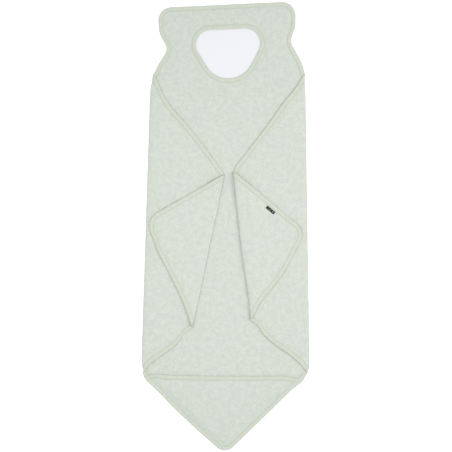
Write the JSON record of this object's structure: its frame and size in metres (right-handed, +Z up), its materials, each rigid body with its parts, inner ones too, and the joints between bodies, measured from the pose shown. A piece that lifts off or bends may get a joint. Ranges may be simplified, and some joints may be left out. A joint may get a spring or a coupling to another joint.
{
  "type": "hooded apron baby towel",
  "caption": "Terry apron towel for a baby, with a neck yoke and a hood pocket at its tip, edged in tape and lying with its sides folded in.",
  "frame": {"origin": "on the surface the towel lies on, under the middle of its folded outline", "axes": "+Y from the hood's tip towards the neck yoke, +X to the right seen from above with the yoke at the top, +Z up, away from the surface"},
  "size_m": [0.4688, 1.2472, 0.0109],
  "materials": {
    "terry_cloth": "matte looped pile",
    "binding_tape": "matte fine knit",
    "label_weave": "smooth weave"
  },
  "bodies": {
    "centre": {"centre_panel": "terry_cloth", "yoke_binding": "binding_tape", "neck_binding": "binding_tape", "hood_panel": "terry_cloth", "hood_mouth_binding": "binding_tape", "hood_edge_binding": "binding_tape"},
    "left_side": {"left_side_panel": "terry_cloth", "left_side_upper_binding": "binding_tape", "left_side_lower_binding": "binding_tape"},
    "left_corner": {"left_corner_panel": "terry_cloth", "left_corner_binding": "binding_tape"},
    "right_side": {"right_side_panel": "terry_cloth", "right_side_upper_binding": "binding_tape", "right_side_lower_binding": "binding_tape"},
    "right_corner": {"right_corner_panel": "terry_cloth", "right_corner_binding": "binding_tape", "woven_label": "label_weave"}
  },
  "joints": [
    {"name": "left_side_fold", "type": "hinge", "parent": "centre", "child": "left_side", "pos_m": [-0.22504, 0.00714, 0.00325], "axis": [-0.0234, -0.9997, 0], "range_deg": [0, 180]},
    {"name": "left_corner_fold", "type": "hinge", "parent": "left_side", "child": "left_corner", "pos_m": [-0.0494, -0.05936, 0.00675], "axis": [0.1957, 0.9807, 0], "range_deg": [0, 180]},
    {"name": "right_side_fold", "type": "hinge", "parent": "centre", "child": "right_side", "pos_m": [0.22504, 0.00714, 0.00325], "axis": [-0.0234, 0.9997, 0], "range_deg": [0, 180]},
    {"name": "right_corner_fold", "type": "hinge", "parent": "right_side", "child": "right_corner", "pos_m": [0.04225, -0.05936, 0.00675], "axis": [0.1182, -0.993, 0], "range_deg": [0, 180]}
  ],
  "couplings": [
    {"joint": "left_corner_fold", "follows": "left_side_fold", "ratio": 1},
    {"joint": "right_corner_fold", "follows": "right_side_fold", "ratio": 1}
  ]
}
